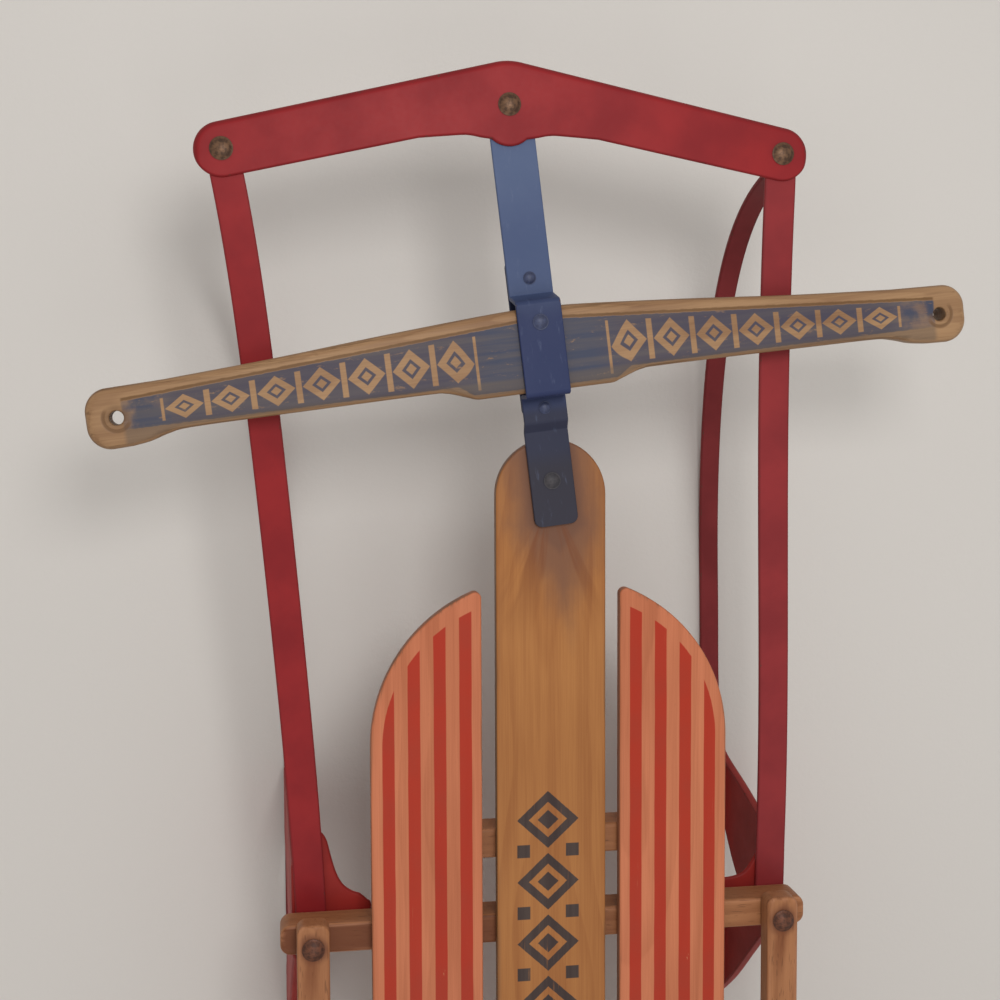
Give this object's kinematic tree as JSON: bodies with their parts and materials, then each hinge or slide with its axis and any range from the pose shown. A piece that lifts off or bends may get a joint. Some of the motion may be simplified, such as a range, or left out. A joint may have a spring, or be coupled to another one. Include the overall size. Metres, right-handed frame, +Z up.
{
  "type": "steerable wooden sled",
  "caption": "Wooden sled with a slatted deck on sprung steel runners, pressed steel knees, side rails and a pivoting steering bar that flexes the runner fronts through a bumper.",
  "frame": {"origin": "on the ground, below the middle of the sled's overall box with the steering turned to the left as modelled; the sled's own centre line is at x = 9.4 mm", "axes": "+X to the rider's right, +Y towards the front, +Z up"},
  "size_m": [0.5879, 1.21, 0.2091],
  "materials": {
    "varnished_wood": "worn orange-brown varnish on straight-grained softwood",
    "pale_wood": "worn clear varnish, painted with red stripes",
    "beam_wood": "brown stained hardwood, dulled varnish",
    "bar_wood": "varnished hardwood with a worn blue print",
    "red_steel": "old red enamel, chipped and scuffed",
    "dark_red_steel": "old dark red enamel, worn through along the sole",
    "blue_steel": "old blue enamel, worn at the edges",
    "bronze": "dulled, brown with age",
    "zinc": "dull zinc plate"
  },
  "bodies": {
    "deck": {"centre_board": "varnished_wood", "left_deck_board": "pale_wood", "right_deck_board": "pale_wood", "front_crossbeam": "beam_wood", "rear_crossbeam": "beam_wood", "front_cleat": "beam_wood", "rear_cleat": "beam_wood", "left_side_rail": "beam_wood", "right_side_rail": "beam_wood", "front_left_knee": "red_steel", "front_right_knee": "red_steel", "rear_left_knee": "red_steel", "rear_right_knee": "red_steel", "left_runner": "dark_red_steel", "right_runner": "dark_red_steel", "pivot_bolt": "blue_steel", "pivot_washer": "zinc", "pivot_nut": "zinc", "front_left_rail_bolt": "bronze", "front_right_rail_bolt": "bronze", "rear_left_rail_bolt": "bronze", "rear_right_rail_bolt": "bronze", "front_left_rail_nut": "zinc", "front_right_rail_nut": "zinc", "rear_left_rail_nut": "zinc", "rear_right_rail_nut": "zinc", "deck_nail_1": "bronze", "deck_nail_2": "bronze", "deck_nail_3": "bronze", "deck_nail_4": "bronze", "deck_nail_5": "bronze", "deck_nail_6": "bronze", "deck_nail_7": "bronze", "deck_nail_8": "bronze", "left_knee_rivet_1": "red_steel", "left_knee_rivet_2": "red_steel", "left_knee_rivet_3": "red_steel", "left_knee_rivet_4": "red_steel", "right_knee_rivet_1": "red_steel", "right_knee_rivet_2": "red_steel", "right_knee_rivet_3": "red_steel", "right_knee_rivet_4": "red_steel"},
    "steering": {"steering_bar": "bar_wood", "steering_strap": "blue_steel", "lower_steering_strap": "blue_steel", "bar_bolt": "blue_steel", "front_strap_rivet": "blue_steel", "rear_strap_rivet": "blue_steel"},
    "left_brace": {"left_brace_strap": "red_steel"},
    "right_brace": {"right_brace_strap": "red_steel"},
    "bumper": {"bumper_crosspiece": "red_steel", "left_bumper_rivet": "bronze", "centre_bumper_rivet": "bronze", "right_bumper_rivet": "bronze"},
    "left_nose": {"left_runner_nose": "dark_red_steel"},
    "right_nose": {"right_runner_nose": "dark_red_steel"}
  },
  "joints": [
    {"name": "steering_pivot", "type": "hinge", "parent": "deck", "child": "steering", "pos_m": [0.0094, 0.331, 0.18], "axis": [0, 0, 1], "range_deg": [-18.8, 5.2]},
    {"name": "left_brace_flex", "type": "hinge", "parent": "deck", "child": "left_brace", "pos_m": [-0.1546, 0.019, 0.1435], "axis": [0, 0, 1], "range_deg": [-9.2, 2.8]},
    {"name": "right_brace_flex", "type": "hinge", "parent": "deck", "child": "right_brace", "pos_m": [0.1734, 0.019, 0.1435], "axis": [0, 0, 1], "range_deg": [-9.2, 2.8]},
    {"name": "bumper_pivot", "type": "hinge", "parent": "left_brace", "child": "bumper", "pos_m": [-0.20702, 0.54786, 0.188], "axis": [0, 0, 1], "range_deg": [-2.5, 8.1]},
    {"name": "left_nose_flex", "type": "hinge", "parent": "deck", "child": "left_nose", "pos_m": [-0.1646, 0.112, 0.002], "axis": [0, 0, 1], "range_deg": [-11.1, 3.3]},
    {"name": "right_nose_flex", "type": "hinge", "parent": "deck", "child": "right_nose", "pos_m": [0.1834, 0.112, 0.002], "axis": [0, 0, 1], "range_deg": [-11.1, 3.3]}
  ],
  "couplings": [
    {"joint": "left_brace_flex", "follows": "steering_pivot", "ratio": 0.4672},
    {"joint": "right_brace_flex", "follows": "steering_pivot", "ratio": 0.4673},
    {"joint": "bumper_pivot", "follows": "steering_pivot", "ratio": -0.4096},
    {"joint": "left_nose_flex", "follows": "steering_pivot", "ratio": 0.5666},
    {"joint": "right_nose_flex", "follows": "steering_pivot", "ratio": 0.5667}
  ]
}
